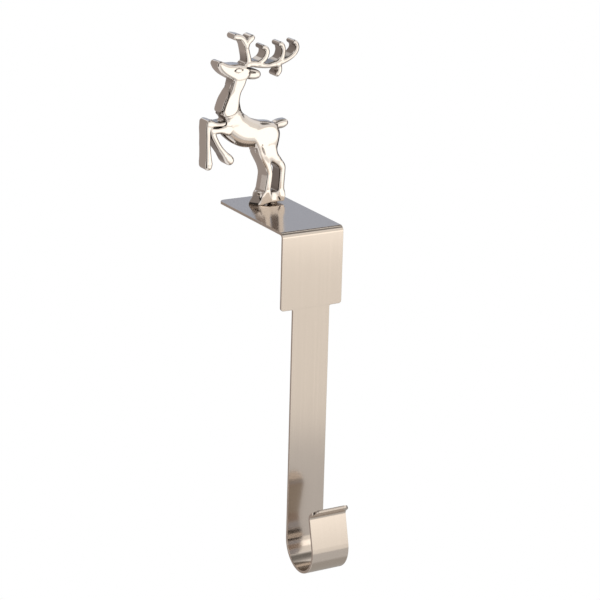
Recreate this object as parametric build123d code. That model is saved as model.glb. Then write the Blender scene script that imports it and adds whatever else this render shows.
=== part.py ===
from build123d import *
import math
import os

# A mantel stocking holder. A folded sheet-metal bracket sits over the edge of a
# mantel shelf and ends in a hook. A die-cast reindeer stands on its top plate.
# Millimetres. X runs to the right seen from the front, -Y is the front, +Z is up.
# The origin is the middle of the flat underside that rests on the shelf.

# Sheet and top plate
sheet = 1.2
bend_radius = 1.0            # inside radius of the right-angle fold
seat_depth = 51.8            # flat underside, from the fold to the back edge
plate_width = 27.4
plate_corner_radius = 2.6

# Apron and strap
apron_height = 31.9          # top face to the shoulders
apron_corner_radius = 1.2
notch_radius = 0.6
strap_width = 16.6
total_drop = 140.0           # top face to the lowest point of the hook

# Hook and lip
hook_radius = 9.85           # inside radius of the J
hook_lean = 13.6             # degrees that the front leg leans back to the strap
front_leg = 12.1
lip_radius = 1.5             # inside radius of the reverse bend
lip_turn = 62.0
lip_length = 3.9
lip_corner_radius = 2.8

# Reindeer. Its outline lies in the XZ plane and its thickness along Y.
figure_setback = 11.0        # back edge of the plate to the middle of the figure
head_half = 3.3              # half thickness of each form
neck_half = 3.2
barrel_half = 3.7
leg_half = 3.5
hoof_half = 3.8
antler_half = 3.3
ear_half = 2.6
tail_half = 2.3
sole_lift = 1.15             # the sole stands this far off the plate at the right
head_rounding = 1.0
neck_rounding = 1.0
barrel_rounding = 1.6
leg_bevel = 0.5
hoof_rounding = 0.9
arm_bevel = 0.4
ear_rounding = 0.6
antler_bevel = 0.35
toe_length = 7.6             # hind hoof where it meets the plate, and at the fetlock
toe_width = 7.4
fetlock_length = 2.6
fetlock_width = 6.6
toe_height = 4.8

# Fixing screws, up through the plate into bosses under the foot
screw_diameter = 2.5
screw_length = 5.4
head_diameter = 4.6
boss_diameter = 4.0
boss_height = 3.0
screw_places = (-0.4, 5.2)   # X of the two screws
thread_clearance = 0.05
head_clearance = 0.05
hole_clearance = 0.2
recess_width = 0.6
recess_length = 2.4
recess_depth = 0.6

plate_back = seat_depth / 2
plate_front = -seat_depth / 2 - bend_radius - sheet
figure_y = plate_back - figure_setback
top = sheet
near = 0.01                  # how close an edge must be to count as in its place


def folded_strip():
    """Side profile of the sheet: plate, fold, strap, hook, front leg and lip."""
    mid_bend = bend_radius + sheet / 2
    mid_hook = hook_radius + sheet / 2
    mid_lip = lip_radius + sheet / 2
    drop = total_drop - sheet - bend_radius - sheet - hook_radius
    steps = [
        ("run", seat_depth),
        ("turn", mid_bend, 90.0),
        ("run", drop),
        ("turn", mid_hook, -180.0 - hook_lean),
        ("run", front_leg),
        ("turn", mid_lip, lip_turn),
        ("run", lip_length),
    ]
    y, z, heading = plate_back, sheet / 2, 180.0
    left, right = [], []

    def side(offset):
        angle = math.radians(heading + 90.0)
        return (y + offset * math.cos(angle), z + offset * math.sin(angle))

    for step in steps:
        start = (side(sheet / 2), side(-sheet / 2))
        if step[0] == "run":
            y += step[1] * math.cos(math.radians(heading))
            z += step[1] * math.sin(math.radians(heading))
            left.append(Line(start[0], side(sheet / 2)))
            right.append(Line(start[1], side(-sheet / 2)))
            continue
        radius, turn = step[1], step[2]
        way = math.copysign(90.0, turn)
        cy = y + radius * math.cos(math.radians(heading + way))
        cz = z + radius * math.sin(math.radians(heading + way))
        points = []
        for part in (0.5, 1.0):
            angle = math.radians(heading - way + part * turn)
            points.append((cy + radius * math.cos(angle), cz + radius * math.sin(angle), part))
        first_heading = heading
        arcs = []
        for y, z, part in points:
            heading = first_heading + part * turn
            arcs.append((side(sheet / 2), side(-sheet / 2)))
        left.append(ThreePointArc(start[0], arcs[0][0], arcs[1][0]))
        right.append(ThreePointArc(start[1], arcs[0][1], arcs[1][1]))
    ends = [Line(left[0] @ 0, right[0] @ 0), Line(left[-1] @ 1, right[-1] @ 1)]
    return Plane.YZ * make_face(Curve() + left + right + ends)


def bracket():
    """The folded strip at full width, narrowed below the shoulders."""
    strip = extrude(folded_strip(), plate_width / 2, both=True)
    shoulder = top - apron_height
    side = (plate_width - strap_width) / 2
    front = plate_front - 3 * hook_radius
    for way in (-1, 1):
        notch = Box(side * 2, total_drop, total_drop, align=(Align.CENTER, Align.MIN, Align.MAX))
        notch = Pos(way * (strap_width / 2 + side), front, shoulder) * notch
        upper = notch.edges().filter_by(Axis.Y).group_by(Axis.Z)[-1].sort_by(Axis.X)
        strip -= fillet(upper[0] if way > 0 else upper[-1], notch_radius)
    back_corners = [e for e in strip.edges().filter_by(Axis.Z) if abs(e.center().Y - plate_back) < near]
    strip = fillet(back_corners, plate_corner_radius)
    apron = [e for e in strip.edges().filter_by(Axis.Y) if abs(e.center().Z - shoulder) < near]
    outer = [e for e in apron if abs(abs(e.center().X) - plate_width / 2) < near]
    strip = fillet(outer, apron_corner_radius)
    tip = strip.faces().filter_by(GeomType.PLANE).group_by(Axis.Y)[0].sort_by(Axis.Z)[-1]
    corners = [e for e in tip.edges() if abs(e.tangent_at(0).X) < near and e.length < sheet + near]
    strip = fillet(corners, lip_corner_radius)
    for x in screw_places:
        strip -= Pos(x, figure_y, 0) * Cylinder(screw_diameter / 2 + hole_clearance, sheet * 3)
        strip -= countersink(x, head_clearance)
    return strip


def countersink(x, clearance):
    """The cone of a countersunk head, wide end on the underside."""
    depth = (head_diameter - screw_diameter) / 2 + clearance
    wide = head_diameter / 2 + clearance
    return Pos(x, figure_y, depth / 2) * Cone(wide, screw_diameter / 2, depth)


def limb(stations, half, size, round_start=False, round_end=True, edging=fillet):
    """A limb through stations of X, height over the plate and width.

    Its side walls are flat along Y, as a casting's are, and its front and back
    edges are rounded, or bevelled on a slim form. An end is either a half
    circle or cut square inside a neighbour.
    """
    points = [(x, z + top, width / 2) for x, z, width in stations]
    last = len(points) - 1
    ways = []
    for i in range(last + 1):
        a, b = points[max(i - 1, 0)], points[min(i + 1, last)]
        ways.append(Vector(b[0] - a[0], b[1] - a[1]).normalized())
    left = [(x - way.Y * w, z + way.X * w) for (x, z, w), way in zip(points, ways)]
    right = [(x + way.Y * w, z - way.X * w) for (x, z, w), way in zip(points, ways)]
    ends = [(ways[0].X, ways[0].Y), (ways[last].X, ways[last].Y)]
    outline = [Spline(left, tangents=ends), Spline(right, tangents=ends)]
    for i, side, rounded in ((0, -1, round_start), (last, 1, round_end)):
        x, z, w = points[i]
        tip = (x + side * ways[i].X * w, z + side * ways[i].Y * w)
        outline.append(ThreePointArc(left[i], tip, right[i]) if rounded else Line(left[i], right[i]))
    solid = extrude(Plane.XZ * make_face(Curve() + outline), half, both=True)
    rims = [e for e in solid.edges() if e.geom_type != GeomType.LINE]
    rims = [e for e in rims if abs(abs(e.center().Y) - half) < half / 100]
    return Pos(0, figure_y, 0) * edging(rims, size)


def trunk():
    """Head, neck with its mane, barrel and rump."""
    head = [(-21.1, 59.1, 2.6), (-20.0, 58.0, 3.5), (-18.4, 56.9, 4.3), (-16.4, 56.1, 5.2),
            (-13.6, 55.4, 6.4), (-10.8, 55.3, 5.6)]
    neck = [(-12.0, 54.9, 5.6), (-12.8, 51.5, 5.0), (-14.5, 48.1, 4.2), (-15.7, 45.5, 4.8),
            (-16.1, 43.3, 6.8), (-16.2, 41.3, 8.4), (-16.4, 37.6, 6.8)]
    barrel = [(-16.9, 34.3, 6.8), (-13.1, 33.5, 11.2), (-9.2, 31.0, 11.2), (-4.9, 30.0, 10.2),
              (-0.9, 29.5, 9.5), (1.0, 29.2, 9.3)]
    return [limb(head, head_half, head_rounding, round_start=True),
            limb(neck, neck_half, neck_rounding, round_end=False),
            limb(barrel, barrel_half, barrel_rounding, round_start=True)]


def hind_legs():
    """Thigh and near leg, far leg, and the bar and toe that they stand on."""
    near_leg = [(1.3, 28.4, 8.8), (1.5, 25.2, 7.8), (2.0, 22.2, 5.8), (3.5, 19.6, 3.7),
                (5.5, 17.5, 3.1), (7.3, 15.4, 3.0), (7.4, 13.2, 2.6), (7.4, 7.0, 2.6),
                (7.5, 3.2, 3.0)]
    far_leg = [(-3.1, 26.8, 4.0), (-2.8, 24.2, 3.3), (-2.1, 21.4, 2.9), (-0.9, 18.8, 2.6),
               (0.3, 16.2, 2.3), (1.1, 13.4, 2.1), (1.1, 11.0, 2.0), (0.3, 5.4, 2.2),
               (-0.3, 3.2, 3.0)]
    return [limb(near_leg, leg_half, leg_bevel, round_end=False, edging=chamfer),
            limb(far_leg, leg_half, leg_bevel, round_end=False, edging=chamfer),
            foot_bar(), toe()]


def foot_bar():
    """The bar under both hind legs, its sole rising to the right."""
    outline = Polyline((-2.6, top), (-1.4, top + 3.6), (-0.2, top + 4.9), (6.2, top + 5.1),
                       (8.7, top + 4.6), (8.9, top + 2.4), (8.7, top + sole_lift),
                       (1.8, top + sole_lift), (-1.0, top), close=True)
    bar = extrude(Plane.XZ * make_face(outline), leg_half, both=True)
    rims = [e for e in bar.edges() if abs(abs(e.center().Y) - leg_half) < near]
    return Pos(0, figure_y, 0) * chamfer(rims, leg_bevel)


def toe():
    """The toe of the hind hooves, flared where it meets the plate."""
    sole = Pos(-1.9, figure_y, top) * Ellipse(toe_length / 2, toe_width / 2)
    fetlock = Pos(-0.2, figure_y, top + toe_height) * Ellipse(fetlock_length / 2, fetlock_width / 2)
    return loft([sole, fetlock])


def fore_legs():
    """Both raised fore legs, each an upper arm, a knee, a lower leg and a rounded hoof."""
    first_arm = [(-16.7, 35.2, 2.6), (-19.7, 35.1, 1.7), (-22.3, 35.2, 1.7), (-24.3, 35.6, 2.4),
                 (-25.7, 36.0, 2.5)]
    first_leg = [(-26.0, 36.2, 2.3), (-26.3, 33.4, 1.9), (-26.2, 30.2, 1.6), (-25.9, 27.0, 1.6),
                 (-25.6, 24.4, 1.8), (-25.3, 20.4, 2.4)]
    first_hoof = [(-25.6, 22.1, 2.1), (-25.4, 20.4, 2.9), (-25.5, 19.3, 2.6)]
    second_arm = [(-17.2, 32.6, 3.8), (-20.2, 32.8, 2.3), (-22.7, 32.8, 2.2), (-23.9, 32.9, 2.2)]
    second_leg = [(-24.1, 33.2, 2.2), (-23.6, 31.0, 2.1), (-22.4, 28.5, 1.9), (-21.0, 26.1, 1.9),
                  (-19.4, 24.0, 2.0), (-16.7, 21.0, 2.9)]
    second_hoof = [(-17.9, 22.2, 2.6), (-16.8, 21.0, 3.5), (-16.3, 20.5, 3.3)]
    return [limb(first_arm, leg_half, arm_bevel, edging=chamfer),
            limb(first_leg, leg_half, arm_bevel, round_start=True, edging=chamfer),
            limb(first_hoof, hoof_half, hoof_rounding, round_start=True),
            limb(second_arm, leg_half, arm_bevel, round_end=False, edging=chamfer),
            limb(second_leg, leg_half, arm_bevel, round_start=True, edging=chamfer),
            limb(second_hoof, hoof_half, hoof_rounding, round_start=True)]


def tail_and_ear():
    """The short upright tail and the ear laid back."""
    tail = [(4.2, 31.2, 2.6), (6.3, 32.2, 3.0), (8.2, 32.6, 2.9), (9.2, 32.9, 2.4)]
    ear = [(-8.8, 54.4, 3.4), (-7.2, 54.3, 4.0), (-5.2, 54.0, 3.8), (-4.0, 53.8, 3.0)]
    return [limb(tail, tail_half, ear_rounding), limb(ear, ear_half, ear_rounding)]


def antlers():
    """Two antlers, each a beam with short hooked tines, all flat-walled ribbons."""
    left_beam = [(-9.2, 56.4, 2.2), (-8.2, 59.4, 2.1), (-9.1, 64.0, 1.7), (-9.8, 67.0, 2.0),
                 (-11.6, 69.3, 2.0), (-14.2, 70.0, 2.2)]
    left_fork = [(-9.2, 65.6, 1.5), (-8.5, 67.4, 2.0), (-7.4, 68.5, 2.2), (-6.8, 69.0, 1.9)]
    right_beam = [(-9.4, 58.1, 1.9), (-6.6, 58.4, 2.2), (-4.2, 58.0, 2.3), (-1.6, 57.4, 1.9),
                  (0.6, 57.1, 1.6), (2.8, 57.4, 2.0), (5.0, 57.7, 2.4)]
    rear_tine = [(5.0, 57.7, 2.4), (7.4, 58.4, 1.9), (9.8, 59.3, 1.7), (12.0, 60.7, 1.7),
                 (13.6, 62.4, 1.5), (13.9, 64.0, 1.4), (13.2, 65.3, 1.5), (12.4, 65.7, 1.5)]
    front_tine = [(-3.6, 58.4, 2.0), (-1.5, 59.7, 1.9), (-0.3, 61.3, 1.8), (0.0, 63.0, 1.8),
                  (-0.6, 64.2, 1.6), (-1.6, 64.7, 1.6)]
    middle_tine = [(5.0, 57.8, 2.4), (6.8, 59.8, 1.8), (7.4, 62.0, 1.5), (7.3, 63.7, 1.6),
                   (6.7, 65.0, 1.7), (5.9, 65.4, 1.8)]
    lower_tine = [(4.8, 57.4, 2.4), (5.7, 56.0, 1.9), (5.7, 54.5, 1.8), (4.9, 53.4, 1.8)]
    ribbons = (left_beam, left_fork, right_beam, rear_tine, front_tine, middle_tine, lower_tine)
    return [limb(ribbon, antler_half, antler_bevel, edging=chamfer) for ribbon in ribbons]


def reindeer():
    """All the forms of the figure in one casting, bored for its two screws."""
    forms = trunk() + hind_legs() + fore_legs() + tail_and_ear() + antlers()
    for x in screw_places:
        forms.append(Pos(x, figure_y, top + boss_height / 2) * Cylinder(boss_diameter / 2, boss_height))
    figure = forms[0]
    for form in forms[1:]:
        figure += form
    for x in screw_places:
        bore = Cylinder(screw_diameter / 2 + thread_clearance, screw_length + thread_clearance)
        figure -= Pos(x, figure_y, (screw_length + thread_clearance) / 2) * bore
    return figure.solid()


def screw(x):
    """One countersunk screw, its head flush with the underside of the plate."""
    shank = Pos(x, figure_y, screw_length / 2) * Cylinder(screw_diameter / 2, screw_length)
    body = shank + countersink(x, 0.0)
    for turn in (0, 90):
        slot = Box(recess_length, recess_width, recess_depth * 2)
        body -= Pos(x, figure_y, 0) * Rot(0, 0, turn) * slot
    return body


if __name__ == "__main__":
    os.makedirs("parts", exist_ok=True)
    export_step(bracket(), "parts/bracket.step")
    export_step(reindeer(), "parts/reindeer.step")
    export_step(Compound(children=[screw(x) for x in screw_places]), "parts/mounting_screws.step")
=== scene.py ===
"""A mantel stocking holder: a satin nickel bracket with a polished cast reindeer."""

import logging
import math
from dataclasses import dataclass
from enum import Enum
from typing import Callable

import bpy
import numpy as np
from mathutils import Matrix, Vector

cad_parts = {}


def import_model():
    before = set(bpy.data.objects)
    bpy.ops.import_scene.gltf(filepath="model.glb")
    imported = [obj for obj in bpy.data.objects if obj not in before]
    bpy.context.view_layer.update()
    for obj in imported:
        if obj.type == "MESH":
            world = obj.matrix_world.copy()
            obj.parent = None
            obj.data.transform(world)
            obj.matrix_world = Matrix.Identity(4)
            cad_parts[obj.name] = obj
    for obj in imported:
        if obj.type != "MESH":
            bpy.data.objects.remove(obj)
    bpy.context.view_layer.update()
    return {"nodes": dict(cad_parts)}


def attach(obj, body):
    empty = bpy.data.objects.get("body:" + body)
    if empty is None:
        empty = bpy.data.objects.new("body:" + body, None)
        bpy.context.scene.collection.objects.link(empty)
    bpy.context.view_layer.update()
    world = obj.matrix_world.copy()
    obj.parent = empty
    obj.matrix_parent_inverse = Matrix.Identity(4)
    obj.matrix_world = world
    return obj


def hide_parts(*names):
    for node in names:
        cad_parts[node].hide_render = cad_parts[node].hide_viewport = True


Station = tuple[float, float, float]
Point = tuple[float, float]
Colour = tuple[float, float, float]

LOG = logging.getLogger("stocking_holder")

# The holder is drawn in millimetres and the studio round it in metres
MM = 0.001
TINY = 1e-9
SHEET_THICK = 1.2
FIGURE_Y = 14.9
SCREW_PLACES: Point = (-0.4, 5.2)
# The attribute that carries the figure's openness, which paints shade into its creases and recesses
SHADE_OPENNESS = "openness"

# The colour sockets of a mix node
MIX_FIRST, MIX_SECOND, MIX_RESULT = 6, 7, 2


class Grain(Enum):
    """Which way a brushed finish runs over a piece."""

    LENGTHWAYS = "lengthways"
    NONE = "none"


@dataclass(frozen=True)
class NickelFinish:
    """One metal finish, from the bright casting to the satin sheet.

    `mottle` is the share by which the roughness varies. The grain's values say
    how fine, how drawn out and how deep its lines are and how they change the
    tone. The recess colour is painted shade: where the finish has one, the colour
    darkens towards it in creases and recesses, where the figure's openness is low.
    """

    name: str
    colour: Colour
    roughness: float
    mottle: float
    mottle_scale: float
    grain: Grain = Grain.NONE
    grain_depth: float = 0.0
    grain_pitch: float = 2600.0
    grain_drawn: float = 12.0
    grain_detail: float = 4.0
    grain_break: float = 0.65
    grain_groove: float = 0.02
    grain_tone: Point = (0.94, 1.05)
    mottle_detail: float = 3.0
    # Painted shade: the dark colour laid into creases and recesses
    painted_recess_shade: Colour | None = None

    def material(self) -> bpy.types.Material:
        """Build the node material.

        Returns:
            A metal whose roughness varies, with brushed lines where it has a grain.
        """
        mat = bpy.data.materials.new(self.name)
        mat.use_nodes = True
        nodes, links = mat.node_tree.nodes, mat.node_tree.links
        shader = nodes["Principled BSDF"]
        shader.inputs["Metallic"].default_value = 1.0
        shader.inputs["Base Color"].default_value = (*self.colour, 1.0)
        place = nodes.new("ShaderNodeTexCoord")
        cloud = nodes.new("ShaderNodeTexNoise")
        cloud.inputs["Scale"].default_value = self.mottle_scale
        cloud.inputs["Detail"].default_value = self.mottle_detail
        links.new(place.outputs["Object"], cloud.inputs["Vector"])
        spread = nodes.new("ShaderNodeMapRange")
        spread.inputs["To Min"].default_value = self.roughness * (1.0 - self.mottle)
        spread.inputs["To Max"].default_value = self.roughness * (1.0 + self.mottle)
        links.new(cloud.outputs["Fac"], spread.inputs["Value"])
        links.new(spread.outputs["Result"], shader.inputs["Roughness"])
        # Painted shade: the colour darkens towards the recess colour where the openness is low, in
        # creases, recesses and between parts
        if self.painted_recess_shade:
            painted_shade_mask = nodes.new("ShaderNodeAttribute")
            painted_shade_mask.attribute_name = SHADE_OPENNESS
            tone = nodes.new("ShaderNodeValToRGB")
            tone.color_ramp.elements[0].color = (*self.painted_recess_shade, 1.0)
            tone.color_ramp.elements[1].color = (*self.colour, 1.0)
            links.new(painted_shade_mask.outputs["Fac"], tone.inputs["Fac"])
            links.new(tone.outputs["Color"], shader.inputs["Base Color"])
        if self.grain is Grain.LENGTHWAYS:
            self._brush(nodes, links, place, shader)
        return mat

    def _brush(self, nodes: bpy.types.Nodes, links: bpy.types.NodeLinks,
               place: bpy.types.Node, shader: bpy.types.Node) -> None:
        """Add fine lines across X, drawn out along the sheet, as bump and as tone.

        Args:
            nodes: The material's nodes.
            links: The material's links.
            place: The texture coordinate node.
            shader: The metal shader.
        """
        stretch = nodes.new("ShaderNodeMapping")
        stretch.inputs["Scale"].default_value = (self.grain_pitch, self.grain_drawn, self.grain_drawn)
        lines = nodes.new("ShaderNodeTexNoise")
        lines.inputs["Scale"].default_value = 1.0
        lines.inputs["Detail"].default_value = self.grain_detail
        lines.inputs["Roughness"].default_value = self.grain_break
        links.new(place.outputs["Object"], stretch.inputs["Vector"])
        links.new(stretch.outputs["Vector"], lines.inputs["Vector"])
        bump = nodes.new("ShaderNodeBump")
        bump.inputs["Strength"].default_value = self.grain_depth
        bump.inputs["Distance"].default_value = self.grain_groove * MM
        links.new(lines.outputs["Fac"], bump.inputs["Height"])
        links.new(bump.outputs["Normal"], shader.inputs["Normal"])
        tone = nodes.new("ShaderNodeMapRange")
        tone.inputs["To Min"].default_value = self.grain_tone[0]
        tone.inputs["To Max"].default_value = self.grain_tone[1]
        links.new(lines.outputs["Fac"], tone.inputs["Value"])
        tint = nodes.new("ShaderNodeMix")
        tint.data_type = "RGBA"
        tint.blend_type = "MULTIPLY"
        tint.inputs["Factor"].default_value = 1.0
        tint.inputs[MIX_FIRST].default_value = (*self.colour, 1.0)
        links.new(tone.outputs["Result"], tint.inputs[MIX_SECOND])
        links.new(tint.outputs[MIX_RESULT], shader.inputs["Base Color"])


# The polished casting carries painted shade: its colour darkens in creases and recesses
POLISHED = NickelFinish("polished_nickel", (0.80, 0.727, 0.662), 0.085, 0.25, 700.0,
                        painted_recess_shade=(0.16, 0.135, 0.12))
SATIN = NickelFinish("satin_nickel", (0.70, 0.61, 0.53), 0.145, 0.12, 300.0,
                     Grain.LENGTHWAYS, 0.05)
SCREW = NickelFinish("screw_steel", (0.60, 0.60, 0.60), 0.25, 0.2, 900.0)


def add_object(name: str, verts: list, faces: list) -> bpy.types.Object:
    """Make a mesh object and put it in the scene.

    Args:
        name: The name of the object and its mesh.
        verts: The vertices.
        faces: Each face's vertex numbers.

    Returns:
        The object.
    """
    mesh = bpy.data.meshes.new(name)
    mesh.from_pydata(verts, [], faces)
    mesh.update()
    piece = bpy.data.objects.new(name, mesh)
    bpy.context.collection.objects.link(piece)
    return piece


def flat_card(name: str, w: float, h: float) -> bpy.types.Object:
    """Make one rectangle round the origin, facing up.

    Args:
        name: Its name.
        w: Half its width.
        h: Half its height.

    Returns:
        The object.
    """
    return add_object(name, [(-w, -h, 0), (w, -h, 0), (w, h, 0), (-w, h, 0)], [(0, 1, 2, 3)])


def bearing(azimuth: float, elevation: float) -> Vector:
    """Turn a bearing into a direction.

    Args:
        azimuth: Radians to the right of the front.
        elevation: Radians over the level.

    Returns:
        A unit vector from the origin.
    """
    return Vector((math.sin(azimuth) * math.cos(elevation),
                   -math.cos(azimuth) * math.cos(elevation), math.sin(elevation)))


def curve_through(stations: list[Station], steps: int) -> np.ndarray:
    """Pass a Catmull-Rom curve through stations.

    Args:
        stations: Rows of X, height and width, in millimetres.
        steps: How many rows to make between two stations.

    Returns:
        Rows of X, height and half width.
    """
    p = np.array(stations, float)
    p[:, 2] /= 2
    q = np.vstack([2 * p[0] - p[1], p, 2 * p[-1] - p[-2]])
    rows = []
    for i in range(1, len(q) - 2):
        a, b, c, d = q[i - 1:i + 3]
        for t in np.linspace(0.0, 1.0, steps, endpoint=False):
            rows.append(0.5 * (2 * b + (c - a) * t + (2 * a - 5 * b + 4 * c - d) * t**2
                               + (3 * b - a - 3 * c + d) * t**3))
    rows.append(p[-1])
    return np.array(rows)


@dataclass
class Form:
    """One form of the casting: an outline in the XZ plane with a thickness along Y.

    The faces round over to the flat side walls: the rounding starts `rim` in
    from the outline and falls by `drop`. `blend` is the size of the fillet
    where the form meets what is already there. `lean` is how far the front
    face stands to the right of the middle plane. Every outline is moved out by
    SWELL and measured within MARGIN of its centreline's width.
    """

    stations: list[Station]
    half: float
    rim: float
    drop: float
    blend: float = 0.5
    lean: float = 0.0
    steps: int = 5

    MARGIN = 1.9
    SWELL = 0.2
    FAR = 1e3
    NO_LENGTH = 1e-12

    def __post_init__(self) -> None:
        """Draw the centreline and the box round it."""
        self.line = curve_through(self.stations, self.steps)
        wide = self.line[:, 2:] + self.MARGIN
        self.low = (self.line[:, :2] - wide).min(0)
        self.high = (self.line[:, :2] + wide).max(0)

    def near(self, x: np.ndarray, z: np.ndarray) -> np.ndarray:
        """List the points that lie close enough to be worth measuring.

        Args:
            x: X of the points.
            z: Their height over the plate.

        Returns:
            The numbers of those points.
        """
        return np.nonzero((x > self.low[0]) & (x < self.high[0])
                          & (z > self.low[1]) & (z < self.high[1]))[0]

    def outline(self, x: np.ndarray, z: np.ndarray) -> np.ndarray:
        """Measure how far points lie outside the outline, seen from the front.

        Args:
            x: X of the points.
            z: Their height over the plate.

        Returns:
            Distances, negative inside.
        """
        least = np.full(x.shape, self.FAR)
        for a, b in zip(self.line[:-1], self.line[1:]):
            run = b - a
            length2 = run[0]**2 + run[1]**2 + self.NO_LENGTH
            t = np.clip(((x - a[0]) * run[0] + (z - a[1]) * run[1]) / length2, 0.0, 1.0)
            away = np.hypot(x - a[0] - t * run[0], z - a[1] - t * run[1]) - a[2] - t * run[2]
            np.minimum(least, away, out=least)
        return least

    def distance(self, x: np.ndarray, y: np.ndarray, z: np.ndarray) -> np.ndarray:
        """Measure how far points lie outside the form.

        Args:
            x: X of the points.
            y: Their Y from the figure's middle plane.
            z: Their height over the plate.

        Returns:
            Distances, negative inside.
        """
        forward = np.clip(-y / self.half, 0.0, 1.0)
        side = self.outline(x - self.lean * forward, z) - self.SWELL
        face = np.abs(y) - self.half
        u = np.maximum(side / self.rim + 1.0, 0.0)
        v = np.maximum(face / self.drop + 1.0, 0.0)
        size = np.hypot(u, v)
        slope = np.hypot(u / self.rim, v / self.drop)
        rounded = (size - 1.0) * size / np.maximum(slope, TINY)
        return np.where((u > 0) & (v > 0), rounded, np.maximum(side, face))


@dataclass
class Bar(Form):
    """A form whose outline is a convex polygon: its stations are the corners.

    `splay` draws its left side in towards the faces, so that it is pointed in
    plan. `draft` is how much each face leans back over its height. SHARP sets
    how little its edges are softened, in place of the rim and the drop.
    """

    SHARP = 5.0

    splay: float = 0.0
    draft: float = 0.0

    def __post_init__(self) -> None:
        """Draw the box round the corners."""
        self.line = np.array(self.stations)[:, :2]
        self.low, self.high = self.line.min(0) - self.MARGIN, self.line.max(0) + self.MARGIN

    def distance(self, x: np.ndarray, y: np.ndarray, z: np.ndarray) -> np.ndarray:
        """Measure how far points lie outside the bar, its edges softened.

        Args:
            x: X of the points.
            y: Their Y from the figure's middle plane.
            z: Their height over the plate.

        Returns:
            Distances, negative inside.
        """
        foot = self.line[:, 1].min()
        lean = self.draft * (z - foot)
        sides = [(np.abs(y) - self.half + lean) / math.hypot(1.0, self.draft)]
        for a, b in zip(self.line, np.roll(self.line, -1, axis=0)):
            run = (b - a) / np.linalg.norm(b - a)
            splay = self.splay if run[1] > 0 else 0.0
            plane = (z - a[1]) * run[0] - (x - splay * np.abs(y) - a[0]) * run[1]
            sides.append(plane / math.hypot(1.0, splay * run[1]))
        return np.log(np.exp(self.SHARP * np.stack(sides)).sum(0)) / self.SHARP


@dataclass
class Boss(Form):
    """An upright boss under the foot, with sharp edges.

    Its first station gives X, height and diameter. The second only says how
    far down it is measured, and its half, rim and drop aren't used.
    """

    def distance(self, x: np.ndarray, y: np.ndarray, z: np.ndarray) -> np.ndarray:
        """Measure how far points lie outside the boss.

        Args:
            x: X of the points.
            y: Their Y from the figure's middle plane.
            z: Their height over the plate.

        Returns:
            Distances, negative inside.
        """
        middle, height, width = self.stations[0]
        return np.maximum(np.hypot(x - middle, y) - width / 2, z - height)


@dataclass
class Stroke:
    """A line tooled into both faces of the casting, deepest along its middle."""

    stations: list[Station]
    depth: float

    def __post_init__(self) -> None:
        """Keep the stroke as a form, of which only the outline is used."""
        self.form = Form(self.stations, 1.0, 1.0, 1.0)

    def amount(self, x: np.ndarray, z: np.ndarray) -> np.ndarray:
        """Say how deep the stroke goes at each point.

        Args:
            x: X of the points.
            z: Their height over the plate.

        Returns:
            Depths, nought outside the stroke.
        """
        widest = max(width for _, _, width in self.stations) / 2
        share = np.clip(-self.form.outline(x, z) / widest, 0.0, 1.0)
        return self.depth * share * share * (3.0 - 2.0 * share)


def smooth_union(a: np.ndarray, b: np.ndarray, size: float) -> np.ndarray:
    """Join two fields with a fillet between them.

    Args:
        a: Distances from the first form.
        b: Distances from the second.
        size: How wide the fillet is.

    Returns:
        Distances from both together.
    """
    h = np.clip(0.5 + 0.5 * (b - a) / size, 0.0, 1.0)
    return b * (1.0 - h) + a * h - size * h * (1.0 - h)


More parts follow.
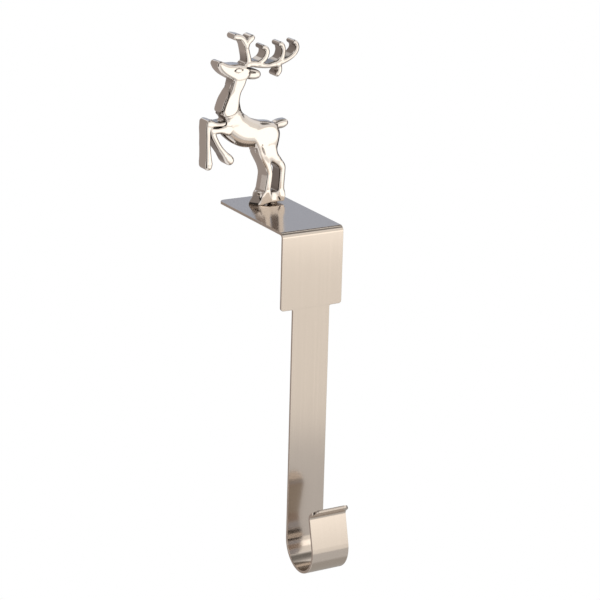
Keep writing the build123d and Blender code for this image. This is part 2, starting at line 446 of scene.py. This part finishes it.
@dataclass
class Skin:
    """The surface where a field is nought, in quads on a regular grid."""

    low: Station
    high: Station
    step: float

    ROUNDS = 2
    SETTLE_REACH = 0.03
    NORMAL_REACH = 0.06
    LEAST_STEEP = 0.3

    def mesh(self, field: Callable[[np.ndarray], np.ndarray]) -> tuple[np.ndarray, np.ndarray]:
        """Find the surface.

        Args:
            field: Gives the distance at each row of a table of points.

        Returns:
            The vertices and the quads.
        """
        axes = [np.arange(a, b + self.step, self.step) for a, b in zip(self.low, self.high)]
        shape = tuple(len(a) for a in axes)
        grid = np.stack(np.meshgrid(*axes, indexing="ij"), -1).reshape(-1, 3)
        value = field(grid).reshape(shape)
        inside = value < 0
        cells = tuple(n - 1 for n in shape)
        total, count = np.zeros(cells + (3,)), np.zeros(cells)
        crossings = []
        for axis in range(3):
            a = [slice(None)] * 3
            b = [slice(None)] * 3
            a[axis], b[axis] = slice(0, -1), slice(1, None)
            va, vb = value[tuple(a)], value[tuple(b)]
            i, j, k = np.nonzero(inside[tuple(a)] != inside[tuple(b)])
            share = va[i, j, k] / (va[i, j, k] - vb[i, j, k])
            place = np.stack([i, j, k], 1).astype(float)
            place[:, axis] += share
            others = [n for n in range(3) if n != axis]
            around = []
            for first, second in ((-1, -1), (0, -1), (0, 0), (-1, 0)):
                cell = [i, j, k]
                cell[others[0]] = cell[others[0]] + first
                cell[others[1]] = cell[others[1]] + second
                around.append(np.stack(cell, 1))
                np.add.at(total, tuple(cell), place)
                np.add.at(count, tuple(cell), 1)
            turned = (va[i, j, k] < 0) != (axis == 1)
            crossings.append((around, turned))
        used = count > 0
        index = np.full(cells, -1)
        index[used] = np.arange(used.sum())
        verts = total[used] / count[used][:, None] * self.step + np.array(self.low)
        quads = []
        for around, turned in crossings:
            quad = np.stack([index[tuple(cell.T)] for cell in around], 1)
            quads.append(np.where(turned[:, None], quad, quad[:, ::-1]))
        return verts, np.vstack(quads)

    @staticmethod
    def slope(field: Callable[[np.ndarray], np.ndarray], verts: np.ndarray,
              reach: float) -> np.ndarray:
        """Measure the field's slope at the vertices, with four samples each.

        Args:
            field: Gives the distance at each row of a table of points.
            verts: The vertices.
            reach: How far off the samples are, along each axis.

        Returns:
            One slope for each vertex.
        """
        corners = np.array([(1, 1, 1), (1, -1, -1), (-1, 1, -1), (-1, -1, 1)], float)
        return sum(corner * field(verts + corner * reach)[:, None]
                   for corner in corners) / (4 * reach)

    def settle(self, field: Callable[[np.ndarray], np.ndarray],
               verts: np.ndarray) -> tuple[np.ndarray, np.ndarray]:
        """Draw the vertices onto the surface and find its normals.

        Args:
            field: Gives the distance at each row of a table of points.
            verts: The vertices.

        Returns:
            The vertices and the normals.
        """
        for _ in range(self.ROUNDS):
            slope = self.slope(field, verts, self.SETTLE_REACH)
            steep = np.maximum((slope**2).sum(1), self.LEAST_STEEP)[:, None]
            move = field(verts)[:, None] * slope / steep
            verts = verts - np.clip(move, -self.step / 2, self.step / 2)
        normals = self.slope(field, verts, self.NORMAL_REACH)
        return verts, normals / np.linalg.norm(normals, axis=1, keepdims=True)


@dataclass
class Reindeer:
    """The rearing reindeer, cast in one with its foot bar and bosses.

    The halves are half thicknesses. `space_low` and `space_high` bound the grid
    that it is skinned on, and `farthest` is the distance given to open space.
    The crease and shade values turn the room over a vertex into its openness,
    which paints shade into the casting's colour in creases and recesses.
    """

    head_half: float = 3.6
    neck_half: float = 3.6
    chest_half: float = 3.3
    haunch_half: float = 3.6
    barrel_half: float = 3.7
    leg_half: float = 3.7
    hoof_half: float = 3.8
    antler_half: float = 3.3
    ear_half: float = 2.6
    tail_half: float = 2.3
    grid: float = 0.26
    space_low: Station = (-28.5, -4.4, -0.6)
    space_high: Station = (16.0, 4.4, 72.5)
    farthest: float = 4.0
    face_soft: float = 0.3
    stroke_fade: float = 1.0
    fine_reach: float = 0.7
    wide_reach: float = 4.4
    crease_gain: float = 1.3
    crease_start: float = 0.25
    shade_least: float = 0.3
    shade_gain: float = 0.7

    def __post_init__(self) -> None:
        """Draw the forms and the tooled lines."""
        self._forms, self._strokes = self.forms(), self.strokes()

    def forms(self) -> list[Form]:
        """List the forms of the figure, from the barrel to the hooves."""
        leg, horn = self.leg_half, self.antler_half
        return [
            # Barrel
            Form([(-16.9, 34.3, 6.8), (-13.1, 33.3, 11.6), (-9.2, 30.8, 11.8),
                  (-4.9, 29.7, 10.8), (-0.9, 29.2, 9.9), (1.2, 28.9, 9.5)],
                 self.barrel_half, 5.0, 2.5),
            # Neck
            Form([(-12.0, 54.9, 5.6), (-12.8, 51.5, 5.0), (-14.2, 48.1, 4.2),
                  (-15.4, 45.5, 4.6), (-16.5, 43.3, 5.4), (-17.5, 40.4, 5.6)],
                 self.neck_half, 1.3, 1.0, 0.5, lean=0.6),
            # Chest
            Form([(-15.0, 45.5, 4.0), (-14.9, 43.3, 5.0), (-14.7, 41.3, 6.2),
                  (-14.6, 38.6, 7.0)], self.chest_half, 2.6, 1.4, 2.2),
            # Head
            Form([(-21.1, 59.1, 2.6), (-20.0, 58.0, 3.5), (-18.4, 56.9, 4.3),
                  (-16.4, 56.1, 5.2), (-13.6, 55.4, 6.4), (-10.8, 55.3, 5.6)],
                 self.head_half, 1.5, 1.2, 0.6, lean=0.5),
            # Haunch and right hind leg
            Form([(1.5, 28.4, 9.4), (1.8, 25.2, 8.2), (2.3, 22.2, 6.0), (3.9, 19.6, 3.8),
                  (5.0, 18.4, 3.2)], self.haunch_half, 2.6, 1.5, 2.4),
            Form([(2.6, 21.6, 4.8), (3.9, 19.6, 3.8), (5.9, 17.5, 3.1), (7.6, 15.4, 2.8),
                  (8.0, 13.2, 2.3), (7.6, 7.0, 2.3), (7.6, 3.2, 3.0)], leg, 1.3, 0.9, 1.2),
            # Left hind leg
            Form([(-3.1, 26.8, 4.0), (-2.8, 24.2, 3.3), (-2.1, 21.4, 2.9), (-0.9, 18.8, 2.6),
                  (0.3, 16.2, 2.3), (1.1, 13.4, 2.1), (1.1, 11.0, 2.0), (0.3, 5.4, 2.2),
                  (-0.3, 3.2, 3.0)], leg, 0.9, 0.7, 1.6, lean=1.0),
            # Left fore leg and its hoof
            Form([(-16.7, 35.2, 2.6), (-19.7, 35.1, 1.7), (-22.3, 35.2, 1.7),
                  (-24.3, 35.6, 2.4), (-25.5, 35.9, 2.5)], leg, 1.0, 0.9, 0.5),
            Form([(-25.2, 35.4, 3.2), (-26.0, 33.4, 1.9), (-26.0, 30.2, 1.6),
                  (-26.0, 27.0, 1.6), (-25.8, 24.4, 1.8), (-25.5, 19.8, 2.4)],
                 leg, 1.0, 0.9, 0.4),
            Form([(-25.6, 21.3, 2.1), (-25.5, 19.6, 2.9), (-25.6, 18.4, 2.7)],
                 self.hoof_half, 1.2, 1.6, 0.3),
            # Right fore leg and its hoof
            Form([(-17.2, 32.6, 3.8), (-20.2, 32.8, 2.3), (-22.7, 32.8, 2.2),
                  (-23.9, 32.9, 2.2)], leg, 1.0, 0.7, 0.2),
            Form([(-24.1, 33.2, 2.2), (-23.6, 31.0, 2.1), (-22.4, 28.5, 1.9),
                  (-21.0, 26.1, 1.9), (-19.4, 24.0, 2.0), (-16.7, 20.8, 2.9)],
                 leg, 1.1, 1.0, 0.3),
            Form([(-17.9, 22.0, 2.6), (-16.8, 20.8, 3.5), (-16.1, 20.0, 3.5)],
                 self.hoof_half, 1.4, 1.6, 0.3),
            # Tail
            Form([(4.2, 31.2, 2.6), (6.3, 32.2, 3.0), (8.2, 32.5, 3.3), (9.4, 32.8, 2.8)],
                 self.tail_half, 1.4, 1.3, 0.3),
            # Ear
            Form([(-8.8, 54.4, 3.4), (-7.2, 54.3, 4.0), (-5.2, 54.0, 3.8), (-4.0, 53.8, 3.0)],
                 self.ear_half, 1.3, 1.0, 0.3),
            # Upright antler
            Form([(-9.2, 56.4, 2.2), (-8.2, 59.4, 2.1), (-9.1, 64.0, 1.7), (-9.8, 67.0, 2.0),
                  (-11.6, 69.1, 2.0), (-14.2, 69.75, 2.2)], horn, 1.0, 0.9, 0.5),
            Form([(-9.2, 65.6, 1.5), (-8.5, 67.4, 2.0), (-7.4, 68.5, 2.2), (-6.8, 69.0, 1.9)],
                 horn, 1.0, 0.9, 0.5),
            # Long antler and its points
            Form([(-9.4, 58.1, 1.9), (-6.6, 58.4, 2.2), (-4.2, 58.0, 2.3), (-1.6, 57.4, 1.9),
                  (0.6, 57.1, 1.6), (2.8, 57.4, 2.0), (5.0, 57.7, 2.4)], horn, 1.0, 0.9, 0.5),
            Form([(5.0, 57.7, 2.4), (7.4, 58.4, 1.9), (9.8, 59.3, 1.7), (12.0, 60.7, 1.7),
                  (13.4, 62.4, 1.5), (13.65, 64.0, 1.4), (13.0, 65.3, 1.5), (12.4, 65.7, 1.5)],
                 horn, 1.0, 0.9, 0.4),
            Form([(-3.6, 58.4, 2.0), (-1.5, 59.7, 1.9), (-0.3, 61.3, 1.8), (0.0, 63.0, 1.8),
                  (-0.6, 64.2, 1.6), (-1.6, 64.7, 1.6)], horn, 1.0, 0.9, 0.4),
            Form([(5.0, 57.8, 2.4), (6.8, 59.8, 1.8), (7.4, 62.0, 1.5), (7.3, 63.7, 1.6),
                  (6.7, 65.0, 1.7), (5.9, 65.4, 1.8)], horn, 1.0, 0.9, 0.4),
            Form([(4.8, 57.4, 2.4), (5.7, 56.0, 1.9), (5.7, 54.5, 1.8), (4.9, 53.4, 1.8)],
                 horn, 1.0, 0.9, 0.4),
            # Foot bar and toe
            Bar([(-1.8, 0.8, 0), (-1.4, 3.6, 0), (-0.4, 4.9, 0), (6.2, 5.1, 0), (8.7, 4.6, 0),
                 (9.0, 2.4, 0), (8.8, 0.8, 0)], self.hoof_half, 1.1, 1.0, 1.4, draft=0.15),
            Bar([(-5.9, -0.1, 0), (-5.9, 0.4, 0), (-2.7, 5.2, 0), (0.6, 4.6, 0),
                 (1.9, 1.2, 0), (-1.0, -0.1, 0)], self.hoof_half, 1.0, 1.0, 0.8,
                splay=0.8, draft=0.12),
            # Bosses
            *(Boss([(x, 3.0, 4.0), (x, 2.0, 4.0)], 2.0, 1.0, 1.0, 0.1) for x in SCREW_PLACES),
        ]

    def strokes(self) -> list[Stroke]:
        """List the lines tooled into the casting's faces."""
        return [
            # Eye
            Stroke([(-14.7, 56.5, 0.4), (-14.1, 57.1, 0.6), (-12.9, 57.3, 0.6),
                    (-11.4, 56.9, 0.4)], 0.22),
            Stroke([(-14.7, 56.4, 0.6), (-14.0, 55.8, 0.6), (-12.9, 55.6, 0.4),
                    (-11.8, 55.9, 0.3)], 0.15),
            Stroke([(-14.7, 56.5, 0.9), (-14.5, 56.4, 0.7)], 0.5),
            Stroke([(-11.6, 56.6, 0.8), (-11.3, 56.5, 0.7)], 0.4),
            # Ear and brow
            Stroke([(-8.3, 55.1, 0.9), (-6.6, 55.0, 1.0), (-5.0, 54.7, 0.6)], 0.6),
            Stroke([(-9.3, 57.2, 0.8), (-8.2, 56.9, 1.0), (-7.3, 56.6, 0.7)], 0.9),
            # Neck and mane
            Stroke([(-15.0, 51.4, 0.3), (-16.3, 48.4, 0.6), (-17.5, 45.6, 0.6),
                    (-18.9, 42.2, 0.6), (-19.3, 40.6, 0.5)], 0.45),
            Stroke([(-19.6, 40.6, 0.8), (-20.0, 39.2, 1.0)], 1.0),
            Stroke([(-20.0, 37.9, 0.6), (-17.0, 38.2, 0.9), (-14.5, 39.0, 0.9),
                    (-12.6, 41.0, 0.6)], 0.22),
            # Chest and fore legs
            Stroke([(-21.0, 36.4, 1.0), (-19.6, 36.7, 1.3), (-18.4, 36.6, 0.9)], 0.9),
            Stroke([(-19.3, 34.6, 0.6), (-18.4, 35.1, 0.8), (-18.3, 36.0, 0.6)], 0.6),
            Stroke([(-23.8, 34.2, 0.7), (-22.0, 34.1, 0.7), (-20.3, 34.2, 0.6)], 0.8),
            # Thigh
            Stroke([(-2.2, 24.5, 0.7), (-1.4, 22.8, 1.1), (-0.6, 20.9, 0.7)], 0.4),
            Stroke([(-1.9, 25.2, 0.7), (-1.8, 25.0, 0.7)], 0.5),
            Stroke([(-4.1, 23.6, 0.6), (-3.6, 21.8, 0.7)], 0.6),
            # Hoof and tail
            Stroke([(6.9, 1.3, 0.5), (6.4, 2.2, 0.6), (6.0, 2.9, 0.4)], 0.6),
            Stroke([(4.6, 33.4, 0.6), (5.4, 32.4, 0.8), (5.3, 31.0, 0.6)], 0.6),
        ]

    def distance(self, points: np.ndarray) -> np.ndarray:
        """Measure how far points lie outside the figure.

        Args:
            points: Rows of X, Y from the middle plane and height over the plate.

        Returns:
            Distances, negative inside.
        """
        x, y, z = points.T
        total = np.full(len(points), self.farthest)
        for form in self._forms:
            near = form.near(x, z)
            own = form.distance(x[near], y[near], z[near])
            total[near] = smooth_union(total[near], own, form.blend)
        faced = np.clip(np.abs(y) - self.tail_half + self.stroke_fade, 0.0, 1.0)
        for stroke in self._strokes:
            near = stroke.form.near(x, z)
            total[near] += stroke.amount(x[near], z[near]) * faced[near]
        thick = np.abs(y) - self.hoof_half
        total = -smooth_union(-total, -thick, self.face_soft)
        return np.maximum(total, -z)

    def openness(self, verts: np.ndarray, normals: np.ndarray) -> np.ndarray:
        """Say how open the room over each vertex is: painted shade darkens the colour where it is
        closed.

        Args:
            verts: The vertices.
            normals: Their normals.

        Returns:
            Values from 0 in a recess to 1 in the open.
        """
        near, far = (np.clip(self.distance(verts + normals * reach) / reach, 0.0, 1.0)
                     for reach in (self.fine_reach, self.wide_reach))
        crease = np.clip(near * self.crease_gain - self.crease_start, 0.0, 1.0)
        return crease * (self.shade_least + self.shade_gain * far)

    def build(self) -> bpy.types.Object:
        """Skin the figure and shade it with its own normals.

        Returns:
            The cast figure.
        """
        skin = Skin(self.space_low, self.space_high, self.grid)
        verts, quads = skin.mesh(self.distance)
        verts, normals = skin.settle(self.distance, verts)
        place = (verts + np.array([0.0, FIGURE_Y, SHEET_THICK])) * MM
        figure = add_object("reindeer_cast", place.tolist(), quads.tolist())
        mesh = figure.data
        mesh.shade_smooth()
        mesh.normals_split_custom_set_from_vertices(normals.tolist())
        # Painted shade: the openness darkens the casting's colour in creases, recesses and between
        # parts
        painted_shade_mask = mesh.attributes.new(SHADE_OPENNESS, "FLOAT", "POINT")
        painted_shade_mask.data.foreach_set("value", self.openness(verts, normals))
        LOG.info("reindeer: %d quads", len(mesh.polygons))
        return figure


@dataclass
class Sheet:
    """The bracket: one strip of sheet, drawn flat, broken at its edges and folded up.

    The bend, the hook and the lip are radii at the middle of the sheet. The
    drops and lengths are straight runs, and the turns and the crease are degrees.
    """

    thick: float = SHEET_THICK
    edge: float = 0.2
    plate_half: float = 13.7
    strap_half: float = 8.3
    seat: float = 51.8
    bend: float = 1.6
    bend_turn: float = 90.0
    drop: float = 126.75
    shoulder_drop: float = 29.7
    shoulder_fall: float = 0.04
    hook: float = 10.45
    hook_turn: float = 193.6
    front_leg: float = 12.1
    lip: float = 2.1
    lip_turn: float = 62.0
    lip_length: float = 3.9
    plate_corner: float = 2.6
    apron_corner: float = 1.2
    notch: float = 0.6
    lip_corner: float = 2.8
    hole: float = 1.45
    screw: float = 1.25
    countersink: float = 2.35
    run_pitch: float = 6.0
    turn_pitch: float = 2.0
    corner_points: int = 9
    cutter_sides: int = 40
    cutter_over: float = 0.5
    cutter_lap: float = 0.2
    crease: float = 35.0
    face_weight: int = 90

    def legs(self) -> list[tuple[float, float]]:
        """List the strip's runs and turns.

        Returns:
            For each a length or a radius, and degrees to the left.
        """
        return [(self.seat, 0.0), (self.bend, self.bend_turn), (self.drop, 0.0),
                (self.hook, -self.hook_turn), (self.front_leg, 0.0),
                (self.lip, self.lip_turn), (self.lip_length, 0.0)]

    def places(self) -> list[float]:
        """Share the strip out into rows of points.

        Returns:
            The rows' lengths from the back edge.
        """
        rows, start = [], 0.0
        for size, turn in self.legs():
            length = math.radians(abs(turn)) * size if turn else size
            pitch = self.turn_pitch if turn else self.run_pitch
            count = max(2, round(abs(turn) / pitch if turn else size / pitch))
            rows += [start + length * i / count for i in range(count)]
            start += length
        return rows + [start]

    def folded(self, along: float, offset: float) -> tuple[float, float]:
        """Find where a point of the flat strip ends up in the side view.

        Args:
            along: Its length from the back edge.
            offset: Its height over the middle of the sheet, on the underside.

        Returns:
            Its Y and Z in millimetres.
        """
        y, z, heading = self.seat / 2, self.thick / 2, math.pi
        for size, turn in self.legs():
            length = math.radians(abs(turn)) * size if turn else size
            step = min(along, length)
            if turn:
                way = math.copysign(1.0, turn)
                side = heading + way * math.pi / 2
                cy, cz = y + size * math.cos(side), z + size * math.sin(side)
                heading += way * step / size
                side = heading + way * math.pi / 2
                y, z = cy - size * math.cos(side), cz - size * math.sin(side)
            else:
                y, z = y + step * math.cos(heading), z + step * math.sin(heading)
            along -= step
            if along <= TINY:
                break
        side = heading + math.pi / 2
        return y + offset * math.cos(side), z + offset * math.sin(side)

    def half_outline(self) -> list[tuple[float, float, float, float]]:
        """Draw the right half of the flat strip.

        Returns:
            X, length along the strip and the outward direction at each point.
        """
        rows = self.places()
        end = rows[-1]
        shoulder = self.seat + math.radians(self.bend_turn) * self.bend + self.shoulder_drop
        notch_start = shoulder + self.shoulder_fall

        def corner(cx: float, cs: float, radius: float, first: float, last: float,
                   hollow: bool = False) -> list[tuple[float, float, float, float]]:
            """Draw a rounded corner about (cx, cs), from one angle to another."""
            out = []
            sign = -1.0 if hollow else 1.0
            for angle in np.radians(np.linspace(first, last, self.corner_points)):
                c, d = math.cos(angle), math.sin(angle)
                out.append((cx + radius * c, cs + radius * d, sign * c, sign * d))
            return out

        wide, slim = self.plate_half, self.strap_half
        points = corner(wide - self.plate_corner, self.plate_corner, self.plate_corner, -90, 0)
        points += [(wide, s, 1.0, 0.0) for s in rows
                   if self.plate_corner < s < shoulder - self.apron_corner]
        points += corner(wide - self.apron_corner, shoulder - self.apron_corner,
                         self.apron_corner, 0, 90)
        points += corner(slim + self.notch, notch_start + self.notch, self.notch,
                         -90, -180, hollow=True)
        points += [(slim, s, 1.0, 0.0) for s in rows
                   if notch_start + self.notch < s < end - self.lip_corner]
        points += corner(slim - self.lip_corner, end - self.lip_corner, self.lip_corner, 0, 90)
        return points

    def build(self) -> bpy.types.Object:
        """Fold the strip, pierce it for the screws and shade it by its large faces.

        Returns:
            The bracket.
        """
        half, thin = self.half_outline(), self.thick / 2
        slant = self.edge * (1.0 - math.sqrt(0.5))
        levels = [(self.edge, -thin), (slant, -thin + slant), (0.0, -thin + self.edge),
                  (0.0, thin - self.edge), (slant, thin - slant), (self.edge, thin)]
        loop = half + [(-x, s, -nx, ns) for x, s, nx, ns in half[::-1]]
        verts, count = [], len(loop)
        for inset, offset in levels:
            for x, s, nx, ns in loop:
                y, z = self.folded(s - inset * ns, offset)
                verts.append((x - inset * nx, y, z))
        faces = []
        for i in range(len(levels) - 1):
            for j in range(count):
                k = (j + 1) % count
                low, high = i * count, (i + 1) * count
                faces.append((low + j, high + j, high + k, low + k))
        top = (len(levels) - 1) * count
        for j in range(len(half) - 1):
            a, b = count - 1 - j, count - 2 - j
            faces.append((j, j + 1, b, a))
            faces.append((top + a, top + b, top + j + 1, top + j))
        sheet = add_object("bracket_sheet", (np.array(verts) * MM).tolist(), faces)
        cutter = self.cutter()
        pierce = sheet.modifiers.new("pierce", "BOOLEAN")
        pierce.operation = "DIFFERENCE"
        pierce.solver = "EXACT"
        pierce.object = cutter
        apply_modifiers(sheet)
        bpy.data.objects.remove(cutter)
        sheet.data.shade_smooth()
        sheet.data.set_sharp_from_angle(angle=math.radians(self.crease))
        even = sheet.modifiers.new("even", "WEIGHTED_NORMAL")
        even.keep_sharp = True
        even.weight = self.face_weight
        apply_modifiers(sheet)
        LOG.info("bracket: %d faces", len(sheet.data.polygons))
        return sheet

    def cutter(self) -> bpy.types.Object:
        """Make the two screw holes with their countersinks, as one cutting mesh.

        Returns:
            The cutter.
        """
        sides, over, lap = self.cutter_sides, self.cutter_over, self.cutter_lap
        depth = self.countersink - self.screw
        rings = [(-over, self.countersink + over), (depth - lap, self.screw + lap),
                 (self.thick + over, self.hole)]
        verts, faces = [], []
        for x in SCREW_PLACES:
            start = len(verts)
            for z, radius in rings:
                for turn in np.linspace(0.0, 2 * math.pi, sides, endpoint=False):
                    verts.append((x + radius * math.cos(turn),
                                  FIGURE_Y + radius * math.sin(turn), z))
            for i in range(len(rings) - 1):
                for j in range(sides):
                    k = (j + 1) % sides
                    low, high = start + i * sides, start + (i + 1) * sides
                    faces.append((low + j, low + k, high + k, high + j))
            faces.append(tuple(start + j for j in range(sides))[::-1])
            faces.append(tuple(start + (len(rings) - 1) * sides + j for j in range(sides)))
        return add_object("cutter", (np.array(verts) * MM).tolist(), faces)


def apply_modifiers(piece: bpy.types.Object) -> None:
    """Turn a piece's modifiers into its mesh.

    Args:
        piece: The object to settle.
    """
    bpy.context.view_layer.update()
    graph = bpy.context.evaluated_depsgraph_get()
    done = bpy.data.meshes.new_from_object(piece.evaluated_get(graph))
    old = piece.data
    piece.modifiers.clear()
    piece.data = done
    bpy.data.meshes.remove(old)


@dataclass(frozen=True)
class Card:
    """A plain card beside the holder: bright to light it, dim to shade it."""

    name: str
    azimuth: float
    elevation: float
    size: Point
    glow: float
    tint: Colour
    feather: Point
    distance: float


WARM_GREY = (1.08, 0.98, 0.94)
NEUTRAL = (1.00, 1.00, 1.00)
COOL_GREY = (0.90, 1.00, 1.20)
BROWN = (1.08, 0.97, 0.92)
CREAM = (1.02, 1.00, 0.96)

CARDS = (
    Card("ground_back", 180.0, -28.0, (4.6, 1.6), 0.36, BROWN, (0.1, 0.15), 1.3),
    Card("card_back_left", -146.0, 12.0, (1.8, 2.3), 0.36, BROWN, (0.2, 0.2), 1.5),
    Card("card_back_right", 150.0, 16.0, (1.5, 0.9), 0.50, COOL_GREY, (0.25, 0.25), 1.5),
    Card("flag_back_top", 142.0, 44.0, (2.0, 0.8), 0.04, BROWN, (0.25, 0.25), 2.0),
    Card("ceiling", 20.0, 80.0, (3.4, 3.2), 0.18, CREAM, (0.4, 0.4), 2.4),
    Card("card_right", 100.0, -10.0, (2.3, 1.7), 0.09, BROWN, (0.12, 0.3), 2.0),
    Card("ground_right", 105.0, -62.0, (1.3, 0.9), 0.42, CREAM, (0.3, 0.3), 0.9),
    Card("ground_front", 30.0, -44.0, (2.4, 1.1), 0.60, NEUTRAL, (0.3, 0.2), 1.1),
    Card("flag_left", -80.0, -6.0, (1.2, 2.0), 0.03, BROWN, (0.3, 0.2), 1.3),
    Card("card_left_high", -76.0, 40.0, (1.7, 1.0), 0.24, WARM_GREY, (0.3, 0.3), 1.5),
    Card("window", 30.0, 2.6, (0.80, 0.56), 0.93, CREAM, (0.3, 0.05), 0.45),
    Card("softbox", 25.0, -4.2, (0.48, 0.205), 1.52, CREAM, (0.5, 0.4), 0.42),
)


@dataclass
class Studio:
    """The camera at the photograph's angle, a pale floor and soft light.

    The aim and the slide are in millimetres, and the other lengths in metres.
    """

    azimuth: float = -29.97
    elevation: float = 17.80
    roll: float = 1.53
    distance: float = 0.912
    slide: Point = (5.32, 27.42)
    focal_pixels: float = 2336.0
    frame_pixels: float = 600.0
    sensor_width: float = 36.0
    clip: Point = (0.01, 20.0)
    aim: Station = (0.0, -28.1, 1.2)
    floor_z: float = -1.20
    floor_reach: float = 12.0
    floor_tone: float = 0.92
    sky_tint: Colour = (0.95, 0.93, 0.90)
    sky_glow: float = 0.30

    def camera(self) -> None:
        """Place the camera."""
        az, el, roll = (math.radians(a) for a in (self.azimuth, self.elevation, self.roll))
        back = bearing(az, el)
        level = (-back).cross(Vector((0, 0, 1))).normalized()
        upright = level.cross(-back)
        right = level * math.cos(roll) + upright * math.sin(roll)
        up = upright * math.cos(roll) - level * math.sin(roll)
        eye = (Vector(self.aim) * MM + back * self.distance
               - right * self.slide[0] * MM - up * self.slide[1] * MM)
        data = bpy.data.cameras.new("camera")
        data.sensor_width = self.sensor_width
        data.lens = self.focal_pixels / self.frame_pixels * data.sensor_width
        data.clip_start, data.clip_end = self.clip
        camera = bpy.data.objects.new("camera", data)
        turn = Matrix((right, up, back)).transposed().to_4x4()
        camera.matrix_world = Matrix.Translation(eye) @ turn
        bpy.context.collection.objects.link(camera)
        bpy.context.scene.camera = camera

    def hang(self, card: Card) -> None:
        """Hang a card that only the metal sees, its edges fading out.

        Args:
            card: The card's bearing, size and brightness.
        """
        w, h = card.size[0] / 2, card.size[1] / 2
        piece = flat_card(card.name, w, h)
        way = bearing(math.radians(card.azimuth), math.radians(card.elevation))
        piece.location = way * card.distance
        piece.rotation_euler = (-way).to_track_quat("Z", "Y").to_euler()
        mat = bpy.data.materials.new(card.name)
        mat.use_nodes = True
        nodes, links = mat.node_tree.nodes, mat.node_tree.links
        nodes.clear()
        light = nodes.new("ShaderNodeEmission")
        light.inputs["Color"].default_value = (*card.tint, 1.0)
        light.inputs["Strength"].default_value = card.glow
        clear = nodes.new("ShaderNodeBsdfTransparent")
        mix = nodes.new("ShaderNodeMixShader")
        out = nodes.new("ShaderNodeOutputMaterial")
        place = nodes.new("ShaderNodeTexCoord")
        split = nodes.new("ShaderNodeSeparateXYZ")
        both = nodes.new("ShaderNodeMath")
        both.operation = "MULTIPLY"
        links.new(place.outputs["Object"], split.inputs[0])
        for axis, reach in enumerate((w, h)):
            size = nodes.new("ShaderNodeMath")
            size.operation = "ABSOLUTE"
            fade = nodes.new("ShaderNodeMapRange")
            fade.interpolation_type = "SMOOTHSTEP"
            fade.inputs["From Min"].default_value = reach
            fade.inputs["From Max"].default_value = reach * (1.0 - card.feather[axis])
            links.new(split.outputs[axis], size.inputs[0])
            links.new(size.outputs[0], fade.inputs["Value"])
            links.new(fade.outputs["Result"], both.inputs[axis])
        links.new(both.outputs[0], mix.inputs["Fac"])
        links.new(clear.outputs["BSDF"], mix.inputs[1])
        links.new(light.outputs["Emission"], mix.inputs[2])
        links.new(mix.outputs["Shader"], out.inputs["Surface"])
        piece.data.materials.append(mat)
        piece.visible_camera = False
        piece.visible_shadow = False
        piece.visible_diffuse = False

    def floor(self) -> None:
        """Lay a pale floor well below the holder, which hangs from a shelf."""
        floor = flat_card("floor", self.floor_reach, self.floor_reach)
        floor.location = (0, 0, self.floor_z)
        mat = bpy.data.materials.new("floor")
        mat.use_nodes = True
        nodes, links = mat.node_tree.nodes, mat.node_tree.links
        shader = nodes["Principled BSDF"]
        shader.inputs["Base Color"].default_value = (*[self.floor_tone] * 3, 1)
        shader.inputs["Roughness"].default_value = 1.0
        shader.inputs["Specular IOR Level"].default_value = 0.0
        glow = nodes.new("ShaderNodeEmission")
        mix = nodes.new("ShaderNodeMixShader")
        links.new(self.seen(nodes, links), mix.inputs["Fac"])
        links.new(shader.outputs["BSDF"], mix.inputs[1])
        links.new(glow.outputs["Emission"], mix.inputs[2])
        links.new(mix.outputs["Shader"], nodes["Material Output"].inputs["Surface"])
        floor.data.materials.append(mat)

    @staticmethod
    def seen(nodes: bpy.types.Nodes, links: bpy.types.NodeLinks) -> bpy.types.NodeSocket:
        """Say whether a ray comes from the camera or from a reflection.

        Args:
            nodes: The nodes to add to.
            links: Their links.

        Returns:
            A socket that is 1 for such a ray.
        """
        path = nodes.new("ShaderNodeLightPath")
        either = nodes.new("ShaderNodeMath")
        either.operation = "MAXIMUM"
        links.new(path.outputs["Is Camera Ray"], either.inputs[0])
        links.new(path.outputs["Is Glossy Ray"], either.inputs[1])
        return either.outputs[0]

    def world(self) -> None:
        """Surround the holder with soft light, white where the camera sees it."""
        world = bpy.data.worlds.new("studio")
        bpy.context.scene.world = world
        world.use_nodes = True
        nodes, links = world.node_tree.nodes, world.node_tree.links
        sky = nodes["Background"]
        sky.inputs["Color"].default_value = (*self.sky_tint, 1)
        sky.inputs["Strength"].default_value = self.sky_glow
        white = nodes.new("ShaderNodeBackground")
        white.inputs["Color"].default_value = (1, 1, 1, 1)
        mix = nodes.new("ShaderNodeMixShader")
        links.new(self.seen(nodes, links), mix.inputs["Fac"])
        links.new(sky.outputs["Background"], mix.inputs[1])
        links.new(white.outputs["Background"], mix.inputs[2])
        links.new(mix.outputs["Shader"], nodes["World Output"].inputs["Surface"])


def dress(node: bpy.types.Object, finish: bpy.types.Material) -> None:
    """Give a CAD node one finish all over.

    Args:
        node: The node's object.
        finish: The material.
    """
    node.data.materials.clear()
    node.data.materials.append(finish)


def main() -> None:
    """Build the holder, piece by piece, around its frame."""
    logging.basicConfig(level=logging.INFO, format="%(message)s")
    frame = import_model()
    bpy.context.scene.view_settings.view_transform = "Standard"
    studio = Studio()
    studio.camera()
    studio.world()
    studio.floor()
    for card in CARDS:
        studio.hang(card)

    figure = Reindeer().build()
    figure.data.materials.append(POLISHED.material())
    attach(figure, "root")
    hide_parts("reindeer")

    bracket = Sheet().build()
    bracket.data.materials.append(SATIN.material())
    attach(bracket, "root")
    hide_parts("bracket")

    dress(frame["nodes"]["mounting_screws"], SCREW.material())


if __name__ == "__main__":
    main()
